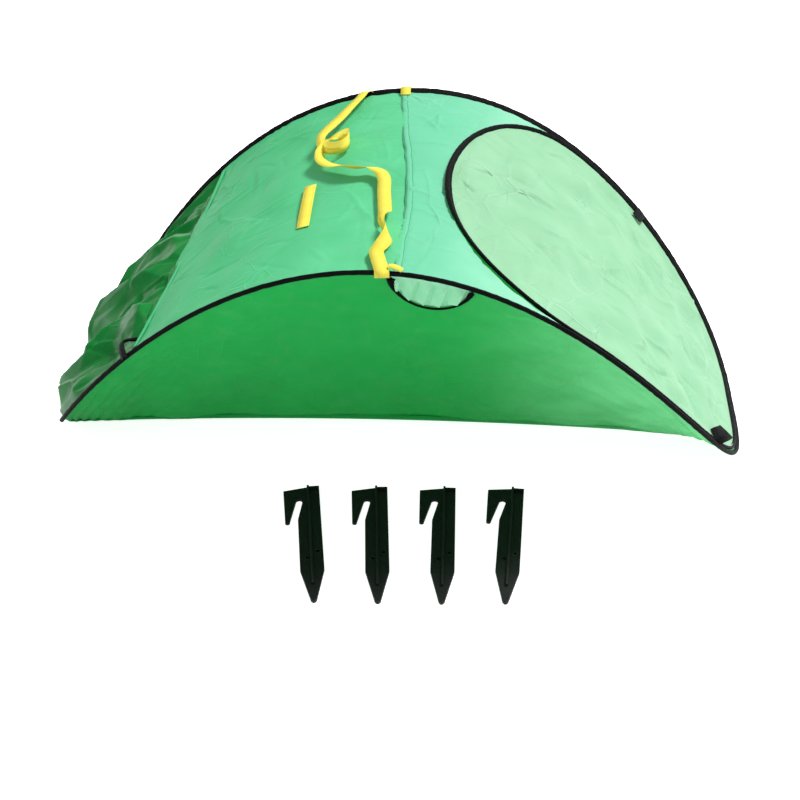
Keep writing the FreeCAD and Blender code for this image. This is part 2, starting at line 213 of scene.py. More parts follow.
def creases(u, v, seed, count, length, width, height, lean=None):
    chance = np.random.default_rng(seed)
    total = 0 * u
    for k in range(count):
        middleU = chance.uniform(u.min(), u.max())
        middleV = chance.uniform(v.min(), v.max())
        angle = chance.uniform(0, math.pi) if lean is None else chance.normal(lean, 0.35)
        reach = length * chance.uniform(0.4, 1.4)
        along = ((u - middleU) * math.cos(angle) + (v - middleV) * math.sin(angle)) / reach
        beside = (v - middleV) * math.cos(angle) - (u - middleU) * math.sin(angle)
        beside = beside - reach * 0.16 * (along ** 2 - chance.uniform(0, 1) * along)
        taper = np.clip(1 - (along * 2) ** 2, 0, 1)
        wide = width * chance.uniform(0.6, 1.6)
        size = chance.choice([-1, 1]) * height * chance.uniform(0.4, 1)
        total = total + size * taper * np.exp(-np.abs(beside) / wide)
    return total


def puckers(distance, along, seed, length, height, reach):
    ripple = np.sin(along * 2 * math.pi / length + 2.2 * np.sin(along * 2 * math.pi / (length * 3.7) + seed))
    swell = 0.6 + 0.4 * np.sin(along * 2 * math.pi / (length * 8.3) + seed * 1.7)
    return height * ripple * swell * np.exp(-distance / reach)


# Materials

class Tree:

    def __init__(self, tree):
        self.tree = tree
        tree.nodes.clear()

    def add(self, kind, values=None, **settings):
        node = self.tree.nodes.new(kind)
        for key, value in settings.items():
            setattr(node, key, value)
        for key, value in (values or {}).items():
            if isinstance(value, bpy.types.NodeSocket):
                self.tree.links.new(value, node.inputs[key])
            else:
                node.inputs[key].default_value = value
        return node

    def math(self, operation, a, b=0.0):
        return self.add("ShaderNodeMath", {0: a, 1: b}, operation=operation).outputs[0]

    def mix(self, share, a, b, blend="MIX"):
        node = self.add("ShaderNodeMix", {0: share, 6: a, 7: b}, data_type="RGBA", blend_type=blend)
        return node.outputs[2]


def colour(red, green, blue):
    return (red, green, blue, 1.0)


def noise(tree, place, scale, detail):
    return tree.add("ShaderNodeTexNoise", {"Vector": place, "Scale": scale, "Detail": detail}).outputs[0]


def newGroup(name, inputs, outputs):
    group = bpy.data.node_groups.new(name, "ShaderNodeTree")
    for direction, sockets in (("INPUT", inputs), ("OUTPUT", outputs)):
        for label, kind, value in sockets:
            socket = group.interface.new_socket(label, in_out=direction, socket_type="NodeSocket" + kind)
            if value is not None:
                socket.default_value = value
    tree = Tree(group)
    return group, tree, tree.add("NodeGroupInput").outputs, tree.add("NodeGroupOutput")


def weaveGroup():
    group, tree, given, out = newGroup(
        "plainWeave", [("Vector", "Vector", None), ("Threads", "Float", 900.0)],
        [("Height", "Float", None), ("Shade", "Float", None)])
    parts = tree.add("ShaderNodeSeparateXYZ", {0: given["Vector"]}).outputs
    turns = tree.math("MULTIPLY", given["Threads"], math.pi)
    warp = tree.math("SINE", tree.math("MULTIPLY", parts[0], turns))
    weft = tree.math("SINE", tree.math("MULTIPLY", parts[1], turns))
    height = tree.math("MULTIPLY", warp, weft)
    uneven = tree.add("ShaderNodeTexNoise", {"Vector": given["Vector"], "Scale": 130.0, "Detail": 3.0})
    blotches = tree.math("MULTIPLY", uneven.outputs[0], 0.08)
    # Shade: painted shade where the threads dip (the weave height) plus random blotches of tone.
    total = tree.math("ADD", tree.math("MULTIPLY", height, 0.02), blotches)
    tree.tree.links.new(height, out.inputs["Height"])
    tree.tree.links.new(total, out.inputs["Shade"])
    return group


def creaseGroup():
    group, tree, given, out = newGroup(
        "pressedCreases", [("Vector", "Vector", None), ("Scale", "Float", 9.0), ("Amount", "Float", 1.0)],
        [("Height", "Float", None), ("Lines", "Float", None), ("Patches", "Float", None)])
    bend = tree.add("ShaderNodeTexNoise", {"Vector": given["Vector"], "Scale": 6.0, "Detail": 2.0}).outputs[1]
    shifted = tree.add("ShaderNodeVectorMath", {0: bend, 1: (0.09, 0.09, 0.09)},
                       operation="MULTIPLY").outputs[0]
    place = tree.add("ShaderNodeVectorMath", {0: given["Vector"], 1: shifted}, operation="ADD").outputs[0]
    total = None
    for share, ratio in ((1.0, 1.0), (0.6, 2.3)):
        scale = tree.math("MULTIPLY", given["Scale"], ratio)
        cells = tree.add("ShaderNodeTexVoronoi", {"Vector": place, "Scale": scale},
                         feature="DISTANCE_TO_EDGE")
        line = tree.add("ShaderNodeMapRange", {0: cells.outputs[0], 1: 0.0, 2: 0.035, 3: share, 4: 0.0},
                        interpolation_type="SMOOTHSTEP").outputs[0]
        total = line if total is None else tree.math("ADD", total, line)
    where = noise(tree, given["Vector"], 7.0, 3.0)
    mask = tree.add("ShaderNodeMapRange", {0: where, 1: 0.47, 2: 0.66, 3: 0.0, 4: 1.0}).outputs[0]
    lines = tree.math("MULTIPLY", tree.math("MULTIPLY", total, mask), given["Amount"])
    patches = noise(tree, place, 15.0, 4.0)
    height = tree.math("ADD", lines, tree.math("MULTIPLY", patches, 0.8))
    tree.tree.links.new(height, out.inputs["Height"])
    tree.tree.links.new(lines, out.inputs["Lines"])
    tree.tree.links.new(patches, out.inputs["Patches"])
    return group


def dustGroup():
    group, tree, given, out = newGroup(
        "lightDust", [("Color", "Color", (0.5, 0.5, 0.5, 1)), ("Vector", "Vector", None),
                      ("Amount", "Float", 0.1)],
        [("Color", "Color", None), ("Mask", "Float", None)])
    speck = noise(tree, given["Vector"], 38.0, 6.0)
    mask = tree.add("ShaderNodeMapRange", {0: speck, 1: 0.5, 2: 0.75, 3: 0.0, 4: 1.0}).outputs[0]
    share = tree.math("MULTIPLY", mask, given["Amount"])
    tree.tree.links.new(tree.mix(share, given["Color"], colour(0.62, 0.6, 0.54)), out.inputs["Color"])
    tree.tree.links.new(share, out.inputs["Mask"])
    return group


def edgeWearGroup():
    group, tree, given, out = newGroup(
        "edgeWear", [("Color", "Color", (0.1, 0.1, 0.1, 1)), ("Worn", "Color", (0.3, 0.3, 0.3, 1)),
                     ("Amount", "Float", 0.5)], [("Color", "Color", None)])
    shape = tree.add("ShaderNodeNewGeometry").outputs["Pointiness"]
    mask = tree.add("ShaderNodeMapRange", {0: shape, 1: 0.52, 2: 0.62, 3: 0.0, 4: 1.0}).outputs[0]
    share = tree.math("MULTIPLY", mask, given["Amount"])
    tree.tree.links.new(tree.mix(share, given["Color"], given["Worn"]), out.inputs["Color"])
    return group


weave = weaveGroup()
crease = creaseGroup()
dust = dustGroup()
wear = edgeWearGroup()


def newMaterial(name):
    material = bpy.data.materials.new(name)
    material.use_nodes = True
    return material, Tree(material.node_tree)


def groupNode(tree, group, values):
    node = tree.tree.nodes.new("ShaderNodeGroup")
    node.node_tree = group
    for key, value in values.items():
        if isinstance(value, bpy.types.NodeSocket):
            tree.tree.links.new(value, node.inputs[key])
        else:
            node.inputs[key].default_value = value
    return node.outputs


def clothMaterial(name, look):
    material, tree = newMaterial(name)
    coordinates = tree.add("ShaderNodeTexCoord").outputs
    woven = groupNode(tree, weave, {"Vector": coordinates["UV"], "Threads": look.get("threads", 1100.0)})
    folds = groupNode(tree, crease, {"Vector": coordinates["Object"], "Scale": look.get("creaseScale", 8.0),
                                     "Amount": look.get("creases", 1.0)})
    base = colour(*look["colour"])
    # Painted light: the base colour turns lighter along the object's x, a gradient standing in for the key
    # light falling brighter on the right-hand side.
    if "paintedLightColour" in look:
        parts = tree.add("ShaderNodeSeparateXYZ", {0: coordinates["Object"]}).outputs
        start, end = look["paintedLightSpan"]
        share = tree.add("ShaderNodeMapRange", {0: parts[0], 1: start, 2: end},
                         interpolation_type="SMOOTHSTEP")
        base = tree.mix(share.outputs[0], base, colour(*look["paintedLightColour"]))
    patch = tree.add("ShaderNodeMapRange", {0: folds["Patches"], 1: 0.3, 2: 0.7, 3: 0.0, 4: 1.0}).outputs[0]
    darker = tree.mix(look.get("mottle", 0.35), base, colour(*look["deep"]))
    toned = tree.mix(patch, darker, base)
    # Painted highlight: the pressed crease lines are mixed towards the pale colour, as if their ridges caught
    # the light.
    creaseHighlight = tree.math("MULTIPLY", folds["Lines"], look.get("creaseHighlightShare", 0.14))
    lit = tree.mix(creaseHighlight, toned, colour(*look["pale"]))
    shaded = tree.mix(woven["Shade"], lit, colour(*look["deep"]))
    dusty = groupNode(tree, dust, {"Color": shaded, "Vector": coordinates["Object"],
                                   "Amount": look.get("dust", 0.03)})["Color"]
    height = tree.math("ADD", tree.math("MULTIPLY", woven["Height"], look.get("weaveHeight", 0.02)),
                       folds["Height"])
    bump = tree.add("ShaderNodeBump", {"Strength": look.get("bump", 0.35), "Height": height,
                                       "Distance": look.get("relief", 0.0009)}).outputs[0]
    surface = tree.add("ShaderNodeBsdfPrincipled", {
        "Base Color": dusty, "Roughness": look.get("roughness", 0.46), "Normal": bump,
        "Specular IOR Level": look.get("gloss", 0.2), "IOR": 1.22, "Sheen Weight": look.get("sheen", 0.0),
        "Sheen Roughness": 0.4}).outputs[0]
    through = tree.add("ShaderNodeBsdfTranslucent", {"Color": dusty, "Normal": bump}).outputs[0]
    both = tree.add("ShaderNodeMixShader", {0: look.get("through", 0.3), 1: surface, 2: through}).outputs[0]
    tree.tree.links.new(both, tree.add("ShaderNodeOutputMaterial").inputs[0])
    return material


def webbingMaterial(name, look):
    material, tree = newMaterial(name)
    coordinates = tree.add("ShaderNodeTexCoord").outputs
    parts = tree.add("ShaderNodeSeparateXYZ", {0: coordinates["UV"]}).outputs
    ribs = tree.math("SINE", tree.math("MULTIPLY", parts[0], 2 * math.pi / look["rib"]))
    threads = tree.math("SINE", tree.math("MULTIPLY", parts[1], 2 * math.pi / look["thread"]))
    height = tree.math("ADD", tree.math("MULTIPLY", ribs, 0.5), tree.math("MULTIPLY", threads, 0.4))
    mottle = noise(tree, coordinates["Object"], 55.0, 4.0)
    share = tree.add("ShaderNodeMapRange", {0: mottle, 1: 0.35, 2: 0.7, 3: 0.0,
                                            4: look.get("mottle", 0.5)}).outputs[0]
    tone = tree.mix(share, colour(*look["colour"]), colour(*look["deep"]))
    # Painted shade: the low parts between the ribs and threads are darkened towards the deep colour.
    grooveShadeShare = tree.add("ShaderNodeMapRange", {0: height, 1: -0.9, 2: 0.3, 3: look.get("grooveShade", 0.35),
                                             4: 0.0}).outputs[0]
    toned = tree.mix(grooveShadeShare, tone, colour(*look["deep"]))
    dusty = groupNode(tree, dust, {"Color": toned, "Vector": coordinates["Object"],
                                   "Amount": look.get("dust", 0.02)})["Color"]
    bump = tree.add("ShaderNodeBump", {"Strength": 0.5, "Distance": look.get("relief", 0.0003),
                                       "Height": height}).outputs[0]
    surface = tree.add("ShaderNodeBsdfPrincipled", {
        "Base Color": dusty, "Roughness": look.get("roughness", 0.6), "Normal": bump,
        "Specular IOR Level": look.get("gloss", 0.2), "IOR": 1.2, "Sheen Weight": look.get("sheen", 0.03),
        "Sheen Roughness": 0.35}).outputs[0]
    through = tree.add("ShaderNodeBsdfTranslucent", {"Color": dusty, "Normal": bump}).outputs[0]
    both = tree.add("ShaderNodeMixShader", {0: look.get("through", 0.0), 1: surface, 2: through}).outputs[0]
    tree.tree.links.new(both, tree.add("ShaderNodeOutputMaterial").inputs[0])
    return material


def hardMaterial(name, look):
    material, tree = newMaterial(name)
    place = tree.add("ShaderNodeTexCoord").outputs["Object"]
    worn = groupNode(tree, wear, {"Color": colour(*look["colour"]), "Worn": colour(*look["worn"]),
                                  "Amount": look.get("wear", 0.4)})["Color"]
    dusty = groupNode(tree, dust, {"Color": worn, "Vector": place, "Amount": look.get("dust", 0.03)})
    grain = noise(tree, place, look.get("grain", 320.0), 3.0)
    smear = noise(tree, place, 24.0, 3.0)
    low, high = look["roughness"]
    rough = tree.add("ShaderNodeMapRange", {0: smear, 1: 0.3, 2: 0.7, 3: low, 4: high}).outputs[0]
    bump = tree.add("ShaderNodeBump", {"Strength": 0.25, "Distance": 0.0002, "Height": grain}).outputs[0]
    surface = tree.add("ShaderNodeBsdfPrincipled", {
        "Base Color": dusty["Color"], "Roughness": rough, "Metallic": look.get("metal", 0.0), "Normal": bump,
        "Specular IOR Level": look.get("gloss", 0.5), "IOR": look.get("ior", 1.45)}).outputs[0]
    tree.tree.links.new(surface, tree.add("ShaderNodeOutputMaterial").inputs[0])
    return material


paint = {
    # Painted shade: the left roof's deeper green is a shaded copy of the one green cloth; its paler end is
    # painted light.
    "roofLeft": clothMaterial("roofClothLeft", {
        "colour": (0.088, 0.55, 0.235), "paintedLightColour": (0.150, 0.66, 0.34), "paintedLightSpan": (-0.30, 0.02),
        "deep": (0.05, 0.45, 0.16), "pale": (0.30, 0.82, 0.52), "creases": 0.9, "through": 0.2,
        "bump": 0.9, "gloss": 0.28}),
    # Painted light: the right roof's paler, minty green is a lit copy of the same cloth, lightening further
    # towards the door.
    "roofRight": clothMaterial("roofClothRight", {
        "colour": (0.19, 0.65, 0.41), "paintedLightColour": (0.44, 0.84, 0.64), "paintedLightSpan": (0.02, 0.24),
        "deep": (0.14, 0.60, 0.33), "pale": (0.6, 0.97, 0.8), "creases": 1.0, "through": 0.2,
        "bump": 0.9, "gloss": 0.28}),
    # Painted light: the door's pale green is a lit copy of the same cloth, standing in for the light falling
    # on this end.
    "door": clothMaterial("doorCloth", {
        "colour": (0.355, 0.66, 0.42), "deep": (0.21, 0.52, 0.28), "pale": (0.66, 0.95, 0.8),
        "creases": 1.6, "creaseScale": 9.0, "through": 0.2, "bump": 0.9, "creaseHighlightShare": 0.10, "gloss": 0.28}),
    # Painted shade: the walls' dark green is a shaded copy of the same cloth for the overhanging wall; the
    # front wall's lighter right end is painted light.
    "frontWall": clothMaterial("frontWallCloth", {
        "colour": (0.024, 0.47, 0.095), "paintedLightColour": (0.27, 0.92, 0.42), "paintedLightSpan": (0.06, 0.44),
        "deep": (0.014, 0.34, 0.060), "pale": (0.08, 0.52, 0.17), "creases": 0.8, "through": 0.22,
        "bump": 0.7}),
    # Painted shade: the back wall takes the same shaded dark green.
    "backWall": clothMaterial("backWallCloth", {
        "colour": (0.024, 0.47, 0.095), "deep": (0.014, 0.34, 0.060), "pale": (0.08, 0.52, 0.17),
        "creases": 0.6, "through": 0.3}),
    # Painted shade: the left end's very dark green stands in for the shadow on this left-facing cloth.
    "slack": clothMaterial("slackCloth", {
        "colour": (0.007, 0.22, 0.038), "deep": (0.003, 0.08, 0.012), "pale": (0.06, 0.42, 0.15),
        "creases": 1.2, "creaseScale": 14.0, "through": 0.12, "bump": 0.8, "gloss": 0.3, "roughness": 0.28}),
    # Painted light: the vent's bright green stands in for light coming through the cloth behind the opening.
    "vent": clothMaterial("ventCloth", {
        "colour": (0.38, 0.83, 0.53), "deep": (0.14, 0.60, 0.30), "pale": (0.6, 0.95, 0.75),
        "creases": 0.5, "through": 0.15}),
    "binding": webbingMaterial("blackBinding", {
        "colour": (0.0035, 0.004, 0.004), "deep": (0.0015, 0.002, 0.002), "rib": 0.0012, "thread": 0.0016,
        "roughness": 0.5, "gloss": 0.22, "sheen": 0.02, "dust": 0.004}),
    "blackTape": webbingMaterial("blackTape", {
        "colour": (0.005, 0.006, 0.006), "deep": (0.002, 0.002, 0.002), "rib": 0.0014, "thread": 0.0018,
        "roughness": 0.6, "gloss": 0.2, "dust": 0.004}),
    "yellow": webbingMaterial("yellowTape", {
        "colour": (0.95, 0.86, 0.13), "deep": (0.90, 0.72, 0.06), "rib": 0.0013, "thread": 0.0017,
        "roughness": 0.65, "through": 0.2, "grooveShade": 0.25}),
    "thread": webbingMaterial("sewingThread", {
        "colour": (0.03, 0.40, 0.14), "deep": (0.02, 0.28, 0.09), "rib": 0.0006, "thread": 0.0006}),
    "paleThread": webbingMaterial("yellowThread", {
        "colour": (0.86, 0.74, 0.12), "deep": (0.7, 0.5, 0.07), "rib": 0.0006, "thread": 0.0006}),
    "darkThread": webbingMaterial("blackThread", {
        "colour": (0.012, 0.013, 0.013), "deep": (0.005, 0.005, 0.005), "rib": 0.0006, "thread": 0.0006}),
    "plastic": hardMaterial("pegPlastic", {
        "colour": (0.0095, 0.0095, 0.010), "worn": (0.03, 0.03, 0.032), "roughness": (0.38, 0.5),
        "gloss": 0.35, "ior": 1.3,
        "dust": 0.002, "wear": 0.4}),
    "pinMark": hardMaterial("pegPinMark", {
        "colour": (0.004, 0.004, 0.004), "worn": (0.01, 0.01, 0.01), "roughness": (0.3, 0.45)}),
    "springSteel": hardMaterial("springSteel", {
        "colour": (0.42, 0.43, 0.45), "worn": (0.7, 0.7, 0.72), "roughness": (0.22, 0.4), "metal": 1.0}),
    "ferruleSteel": hardMaterial("ferruleSteel", {
        "colour": (0.55, 0.55, 0.56), "worn": (0.8, 0.8, 0.8), "roughness": (0.3, 0.45), "metal": 1.0}),
}
print("materials ready")


def finishPiece(obj, body, material, slotName, *nodes):
    obj.data.materials.append(paint[material])
    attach(obj, body)
    if nodes:
        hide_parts(*nodes)
    return obj


def stitchRow(name, path, normals, body, look):
    path = np.asarray(path)
    travelled = np.concatenate([[0], np.cumsum(np.linalg.norm(np.diff(path, axis=0), axis=1))])
    count = max(2, int(travelled[-1] / look["pitch"]))
    corners = 6
    points = []
    faces = []
    angles = np.arange(corners) * 2 * math.pi / corners
    for k in range(count):
        start = travelled[-1] * k / count
        ends = start + look["pitch"] * np.array([0.06, 0.25, 0.65, 0.84])
        places = np.stack([np.interp(ends, travelled, path[:, a]) for a in range(3)], 1)
        upward = unit(np.array([np.interp(start, travelled, normals[:, a]) for a in range(3)]))
        heading = unit(places[-1] - places[0])
        side = unit(np.cross(upward, heading))
        first = len(points)
        for place, size in zip(places, (0.2, 1.0, 1.0, 0.2)):
            centre = place + upward * look["radius"] * 0.3
            for angle in angles:
                outward = side * math.cos(angle) + upward * math.sin(angle)
                points.append(centre + look["radius"] * size * outward)
        for ring in range(3):
            for corner in range(corners):
                after = (corner + 1) % corners
                low = first + ring * corners
                faces.append((low + corner, low + after, low + corners + after, low + corners + corner))
        faces.append(tuple(first + corner for corner in reversed(range(corners))))
        faces.append(tuple(first + 3 * corners + corner for corner in range(corners)))
    made = makeObject(name, np.array(points), faces, np.zeros((len(points), 2)))
    return finishPiece(made, body, look["material"], look["slot"])


# Seam line, roof hem and door edge in plan

seam = {
    "line": ((0.284, -0.031), (0.263, -0.0286), (0.195, -0.021), (0.138, -0.0147), (0.066, -0.0035),
             (-0.017, 0.006), (-0.064, 0.0105), (-0.108, 0.0133), (-0.166, 0.0147), (-0.194, 0.0135),
             (-0.246, 0.0148), (-0.289, 0.0165)),
    "ripple": 0.0003,
    "width": 0.0115,
    "thickness": 0.0005,
}
seamLine = smoothPath(seam["line"], 12)


def seamX(y):
    order = np.argsort(seamLine[:, 0])
    wander = seam["ripple"] * (np.sin(y * 97) + 0.7 * np.sin(y * 171 + 1.3))
    return np.interp(y, seamLine[order, 0], seamLine[order, 1]) + wander


hem = {"middle": -0.350, "lean": 0.014}


def hemX(y):
    return hem["middle"] + hem["lean"] * y


doorShape = {"reach": 0.060, "full": 0.255, "sideInset": 0.0106, "tipInset": 0.0056}


def doorHalf(x, inset=0.0):
    left = doorShape["reach"] + inset
    share = np.clip((doorShape["full"] - x) / (doorShape["full"] - left), 0, 1)
    wide = halfDepth(x, doorShape["sideInset"] + inset, doorShape["tipInset"] + inset)
    return np.where(x < doorShape["full"], wide * np.sqrt(1 - share ** 2), wide)


# Roof cloth left of the seam

roof = {
    "mesh": 0.0033,     # spacing of the cloth's points
    "under": 0.0025,    # how far the cloth runs into a sleeve
    "sag": 0.004,       # hollow between the two arches
    "waveLength": 0.13,
    "waveHeight": 0.0014,
    "creases": 80,
    "creaseHeight": 0.0024,
}


def roofRelief(x, y, u, seed, look, doorEdge=None):
    reach = halfDepth(x) - 0.004
    nearSide = reach - np.abs(y)
    fade = smoothStep(nearSide / 0.03)
    lift = -look["sag"] * (1 - (y / np.maximum(reach, 1e-6)) ** 2)
    lift = lift + fade * waves(u, y, seed, look["waveLength"], look["waveHeight"])
    lift = lift + fade * creases(u, y, seed + 1, look["creases"], 0.09, 0.0022, look["creaseHeight"])
    lift = lift + puckers(nearSide, u, seed, 0.021, 0.0007, 0.016)
    lift = lift + puckers(np.abs(x - seamX(y)), y, seed + 3, 0.016, 0.0006, 0.014)
    if doorEdge is not None:
        lift = lift + puckers(np.abs(doorEdge), y, seed + 4, 0.024, 0.0008, 0.018)
    return lift


def roofSheet(xStart, xEnd, seed, look, rim=None):  # the edges' x for shares -1 to 1 across
    columns = int(2 * sideReach / look["mesh"])
    share = np.linspace(-1, 1, columns)[None, :]
    firstX = xStart(share)
    lastX = xEnd(share)
    rows = int(float(np.max(alongOf(lastX) - alongOf(firstX))) / look["mesh"])
    run = np.linspace(0, 1, rows)[:, None]
    along = alongOf(firstX) * (1 - run) + alongOf(lastX) * run
    x = xOf(along)
    y = share * (halfDepth(x) - sleeveRadius + look["under"])
    gap = None if rim is None else alongOf(lastX) - along
    lift = roofRelief(x, y, along, seed, look, gap)
    return x, y, lift, roofPoint(x, y, lift), surfaceArea(roofPoint(x, y))


x, y, lift, points, area = roofSheet(lambda share: hemX(share * 0.28), lambda share: seamX(share * sideReach),
                                     21, roof)
hemEdge = points[0].copy()
roofLeft = clothGrid("roofClothLeft", points)
finishPiece(roofLeft, "tent", "roofLeft", "roof_fabric", "roof_panel_left")


def doorEdgeX(share):
    wide = doorShape["full"] - doorShape["reach"]
    return doorShape["full"] - wide * np.sqrt(np.clip(1 - share ** 2, 0, 1)) - sleeveRadius + roof["under"]


x, y, lift, points, area = roofSheet(lambda share: seamX(share * sideReach), doorEdgeX, 35, roof, True)
roofRight = clothGrid("roofClothRight", points)
finishPiece(roofRight, "tent", "roofRight", "roof_fabric", "roof_panel_right")
print("roof cloth ready")


# Framed door cloth

door = {"mesh": 0.0034, "sag": 0.003, "waveLength": 0.11, "waveHeight": 0.0030, "creases": 130,
        "creaseHeight": 0.0052}


def doorCloth():
    tip = halfLength - doorShape["tipInset"]
    left = doorShape["reach"]
    rows = int((alongOf(tip) - alongOf(left)) / door["mesh"])
    columns = int(2 * sideReach / door["mesh"])
    run = 0.5 - 0.5 * np.cos(np.linspace(0.03, math.pi - 0.03, rows))
    along = (alongOf(left) + (alongOf(tip) - alongOf(left)) * run)[:, None]
    share = np.linspace(-1, 1, columns)[None, :]
    xs = xOf(along) + 0 * share
    reach = np.maximum(doorHalf(xs) - sleeveRadius + 0.0025, 0.002)
    ys = share * reach
    side = reach * (1 - np.abs(share))
    fade = smoothStep(side / 0.035) * smoothStep((along - alongOf(left)) / 0.03)
    fade = fade * smoothStep((alongOf(tip) - along) / 0.04)
    level = -door["sag"] * np.sin(math.pi * run[:, None]) * (1 - share ** 2)
    level = level + fade * waves(along + 0 * ys, ys, 41, door["waveLength"], door["waveHeight"])
    pressed = creases(along + 0 * ys, ys, 42, door["creases"], 0.08, 0.0024, door["creaseHeight"])
    level = level + fade * pressed
    tension = creases(along + 0 * ys, ys, 43, 26, 0.22, 0.005, 0.0016, lean=0.9)
    level = level + fade * tension
    level = level + puckers(side, along + 0 * ys, 5, 0.022, 0.0009, 0.016) * fade ** 0.3
    base = roofPoint(xs, ys)
    return roofPoint(xs, ys, level), surfaceArea(base)


points, area = doorCloth()
doorPanel = clothGrid("doorCloth", points)
finishPiece(doorPanel, "right_door", "door", "door_fabric", "right_door_panel")
print("door cloth ready")


# Sleeves round the hoops

sleeve = {"radius": 0.0049, "tail": 0.0034, "frontShare": 0.68, "wrinkle": 0.05, "corners": 18,
          "stations": 860, "stitchPitch": 0.0042}
doorSleeveSizes = {**sleeve, "radius": 0.0041, "tail": 0.0022, "stations": 640}


def hoopFrames(x, y, stations):
    ring = resample(roofPoint(x, y), stations, True)
    heading = unit(np.roll(ring, -1, 0) - np.roll(ring, 1, 0))
    normals = roofNormal(ring[:, 0])
    inward = unit(np.cross(normals, heading))
    return ring, inward, unit(np.cross(heading, inward))


def sleeveSize(y):
    return sleeve["frontShare"] + (1 - sleeve["frontShare"]) * smoothStep((y + 0.16) / 0.12)


def sleeveProfile(look, ring, seed):
    stations = len(ring)
    chance = np.random.default_rng(seed)
    angles = np.arange(look["corners"]) * 2 * math.pi / look["corners"]
    turn = np.linspace(0, 2 * math.pi, stations, endpoint=False)[:, None]
    size = 1 + 0 * (turn + angles)
    for k in range(26):
        around = chance.integers(30, 260)
        ripple = np.sin(around * turn + chance.integers(1, 4) * angles + chance.uniform(0, 6))
        size = size + look["wrinkle"] / 5 * ripple
    towards = np.maximum(0, np.cos(angles))
    tight = sleeveSize(ring[:, 1])[:, None]
    side = look["radius"] * tight * size * np.cos(angles) + look["tail"] * tight ** 3 * towards ** 4
    up = look["radius"] * tight * size * np.sin(angles) * (1 - 0.5 * towards ** 2)
    return np.stack([side, up], -1)


def hoopSleeve(x, y, sizes, seed, name, stitchName, body, node):
    ring, inward, up = hoopFrames(x, y, sizes["stations"])
    piece = sweep(name, ring, inward, up, sleeveProfile(sizes, ring, seed), True)
    finishPiece(piece, body, "binding", "black_binding", node)
    size = sleeveSize(ring[:, 1])[:, None]
    line = ring + inward * (sizes["radius"] * size + sizes["tail"] * size ** 3 * 0.45) + up * 0.0012 * size
    stitchRow(stitchName, np.vstack([line, line[:1]]), np.vstack([up, up[:1]]), body,
              {"pitch": sizes["stitchPitch"], "radius": 0.0003, "material": "darkThread",
               "slot": "black_binding"})


angle = np.linspace(0, 2 * math.pi, 6000, endpoint=False)
corner = power(np.cos(angle), tent["doorCorner"], tent["slackCorner"])
ringX = halfLength * np.sign(np.cos(angle)) * np.abs(np.cos(angle)) ** (2 / corner)
ringY = sideReach * np.sign(np.sin(angle)) * np.abs(np.sin(angle)) ** (2 / corner)
hoopSleeve(ringX, ringY, sleeve, 3, "mainHoopSleeve", "mainSleeveStitches", "tent", "main_hoop_binding")

doorTip = halfLength - doorShape["tipInset"]
doorMiddle = (doorShape["reach"] + doorTip) / 2
ringX = doorMiddle + (doorTip - doorShape["reach"]) / 2 * np.cos(angle)
ringY = np.sign(np.sin(angle)) * doorHalf(ringX)
ringY = ringY - 0.0034 * smoothStep((-ringY - 0.05) / 0.1) * smoothStep((ringX - 0.14) / 0.1)
hoopSleeve(ringX, ringY, doorSleeveSizes, 4, "doorSleeve", "doorSleeveStitches", "right_door",
           "right_door_binding")
print("sleeves ready")


# Strips: seams, hems, webbing

def stripProfile(width, thickness):
    half = width / 2
    edge = thickness / 2
    below = [(-half, -edge * 0.5), (-half + edge, -edge), (0, -edge), (half - edge, -edge),
             (half, -edge * 0.5)]
    above = [(across, -level) for across, level in reversed(below)]
    return np.array(below + above)


def strip(name, path, normals, width, thickness):
    heading = unit(np.gradient(path, axis=0))
    side = unit(np.cross(normals, heading))
    up = unit(np.cross(heading, side))
    profile = stripProfile(1.0, 1.0)[None] * np.ones((len(path), 1, 1))
    widths = np.broadcast_to(np.asarray(width, float), (len(path),))
    flat = np.stack([profile[..., 0] * widths[:, None], profile[..., 1] * thickness], -1)
    return sweep(name, path, side, up, flat, False)


seamY = np.linspace(sideReach - 0.009, -sideReach + 0.009, 260)
seamXs = seamX(seamY)
seamSag = -roof["sag"] * (1 - (seamY / (sideReach - 0.004)) ** 2)
seamPath = roofPoint(seamXs, seamY, seamSag + 0.0007)
seamNormals = roofNormal(seamXs)
seamWidth = seam["width"] * (1 + 0.06 * np.sin(seamY * 140))
seamStrip = strip("roofSeam", seamPath, seamNormals, seamWidth, seam["thickness"])
finishPiece(seamStrip, "tent", "roofRight", "roof_fabric", "roof_seam_tape")
for number, offset in enumerate((-0.0042, 0.0042)):
    row = roofPoint(seamXs + offset, seamY, seamSag + 0.0011)
    stitchRow(f"seamStitches{number + 1}", row, seamNormals, "tent",
              {"pitch": 0.0036, "radius": 0.00034, "material": "thread", "slot": "roof_fabric"})
print("seam ready")


# Walls

wall = {
    "frontHem": 0.110, "frontSkew": 0.066, "backHem": 0.126, "backSkew": 0.0,
    "hemLift": 0.020,
    "mesh": 0.0038,
    "hemWidth": 0.011,
    "waveHeight": 0.0016, "creases": 34, "creaseHeight": 0.0018,
    "fanFolds": 46, "fanHeight": 0.0032,
}


def wallLines(x, side, depth, skew):
    top = np.stack([x, side * halfDepth(x), roofHeight(x)], -1)
    lift = 0.0006 + wall["hemLift"] * (1 - np.clip(np.abs(x) / halfLength, 0, 1) ** 2)
    low = np.stack([x, side * (depth - skew * x), lift], -1)
    return top, low


